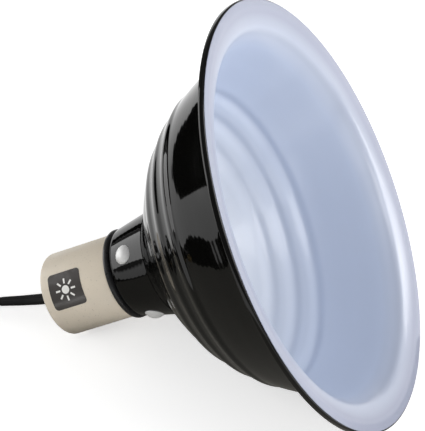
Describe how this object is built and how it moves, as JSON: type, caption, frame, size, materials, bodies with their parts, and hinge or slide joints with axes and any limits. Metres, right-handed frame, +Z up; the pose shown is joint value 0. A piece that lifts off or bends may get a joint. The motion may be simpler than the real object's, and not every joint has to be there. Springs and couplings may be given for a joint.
{
  "type": "grow lamp",
  "caption": "Dome reflector grow lamp: glossy black spun bowl with white enamel inside, riveted neck, cream ceramic screw-base socket and flat cord, lying on its side.",
  "frame": {"origin": "on the surface the lamp lies on, under the middle of the lamp without its free cord", "axes": "+X towards the mouth's side, +Z up, Y across; the lamp's own axis lies in the XZ plane and opens towards +X and up at 30.9 degrees"},
  "size_m": [0.3968, 0.254, 0.2191],
  "materials": {
    "black_enamel": "gloss",
    "white_enamel": "gloss",
    "rivet_metal": "polished",
    "phenolic": "matte",
    "fibre": "matte",
    "black_plastic": "satin",
    "cream_ceramic": "satin glaze",
    "label_film": "gloss",
    "shell_brass": "satin",
    "brass": "satin",
    "nickel": "satin",
    "wire_black": "satin",
    "wire_white": "satin",
    "cream_plastic": "matte",
    "rubber": "matte",
    "cord_vinyl": "satin",
    "tie": "woven",
    "blade_brass": "satin"
  },
  "bodies": {
    "lamp": {"reflector": "black_enamel", "reflector_lining": "white_enamel", "neck_sleeve": "black_enamel", "neck_rivets": "rivet_metal", "retaining_ring": "phenolic", "gasket": "fibre", "socket_collar": "black_plastic", "socket_housing": "cream_ceramic", "label": "label_film", "screw_shell": "shell_brass", "shell_rivet": "brass", "contact_foot": "brass", "contact_rivet": "brass", "live_strap": "brass", "neutral_strap": "nickel", "live_screw": "brass", "neutral_screw": "nickel", "live_lead": "wire_black", "neutral_lead": "wire_white", "back_cap": "cream_plastic", "cap_screws": "nickel", "strain_relief": "rubber", "cord": "cord_vinyl", "cord_coil": "cord_vinyl", "cord_tail": "cord_vinyl", "cord_tie": "tie", "plug_body": "cord_vinyl", "plug_blades": "blade_brass"},
    "contact": {"contact_tongue": "brass"}
  },
  "joints": [
    {"name": "contact_press", "type": "hinge", "parent": "lamp", "child": "contact", "pos_m": [-0.073, 0, 0.04434], "axis": [0, 1, 0], "range_deg": [0, 18], "stiffness_Nm_per_rad": 0.05}
  ]
}
